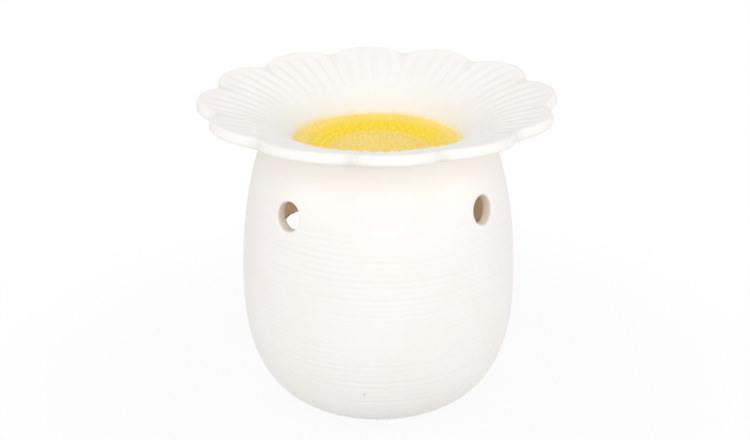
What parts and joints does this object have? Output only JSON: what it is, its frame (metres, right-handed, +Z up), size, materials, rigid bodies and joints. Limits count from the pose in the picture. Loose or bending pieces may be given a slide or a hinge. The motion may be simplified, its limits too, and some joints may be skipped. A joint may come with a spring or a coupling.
{
  "type": "essential oil burner",
  "caption": "Round white pottery oil burner: a daisy-shaped dish with a beaded yellow glazed bowl sits on a vented pot, open at the back for a tealight.",
  "frame": {"origin": "on the pot's axis, in the plane of the foot ring that it stands on", "axes": "+Z up along the pot's axis, -Y towards the plain front with the vents, +Y out of the doorway at the back"},
  "size_m": [0.1304, 0.1304, 0.1175],
  "materials": {
    "white_glaze": "satin warm white glaze",
    "yellow_glaze": "glossy pooled yellow glaze",
    "aluminium_foil": "bright drawn aluminium",
    "paraffin_wax": "translucent white wax",
    "tinplate": "tinned sheet steel",
    "cotton": "waxed cotton braid"
  },
  "bodies": {
    "pot": {"burner_body": "white_glaze"},
    "dish": {"flower_dish": "white_glaze", "centre_glaze": "yellow_glaze"},
    "tealight": {"tealight_cup": "aluminium_foil", "tealight_wax": "paraffin_wax", "wick_sustainer": "tinplate", "wick": "cotton"}
  },
  "joints": [
    {"name": "dish_lift", "type": "slide", "parent": "pot", "child": "dish", "axis": [0, 0, 1], "range_m": [0, 0.05]},
    {"name": "tealight_slide", "type": "slide", "parent": "pot", "child": "tealight", "axis": [0, 1, 0], "range_m": [0, 0.08]}
  ]
}
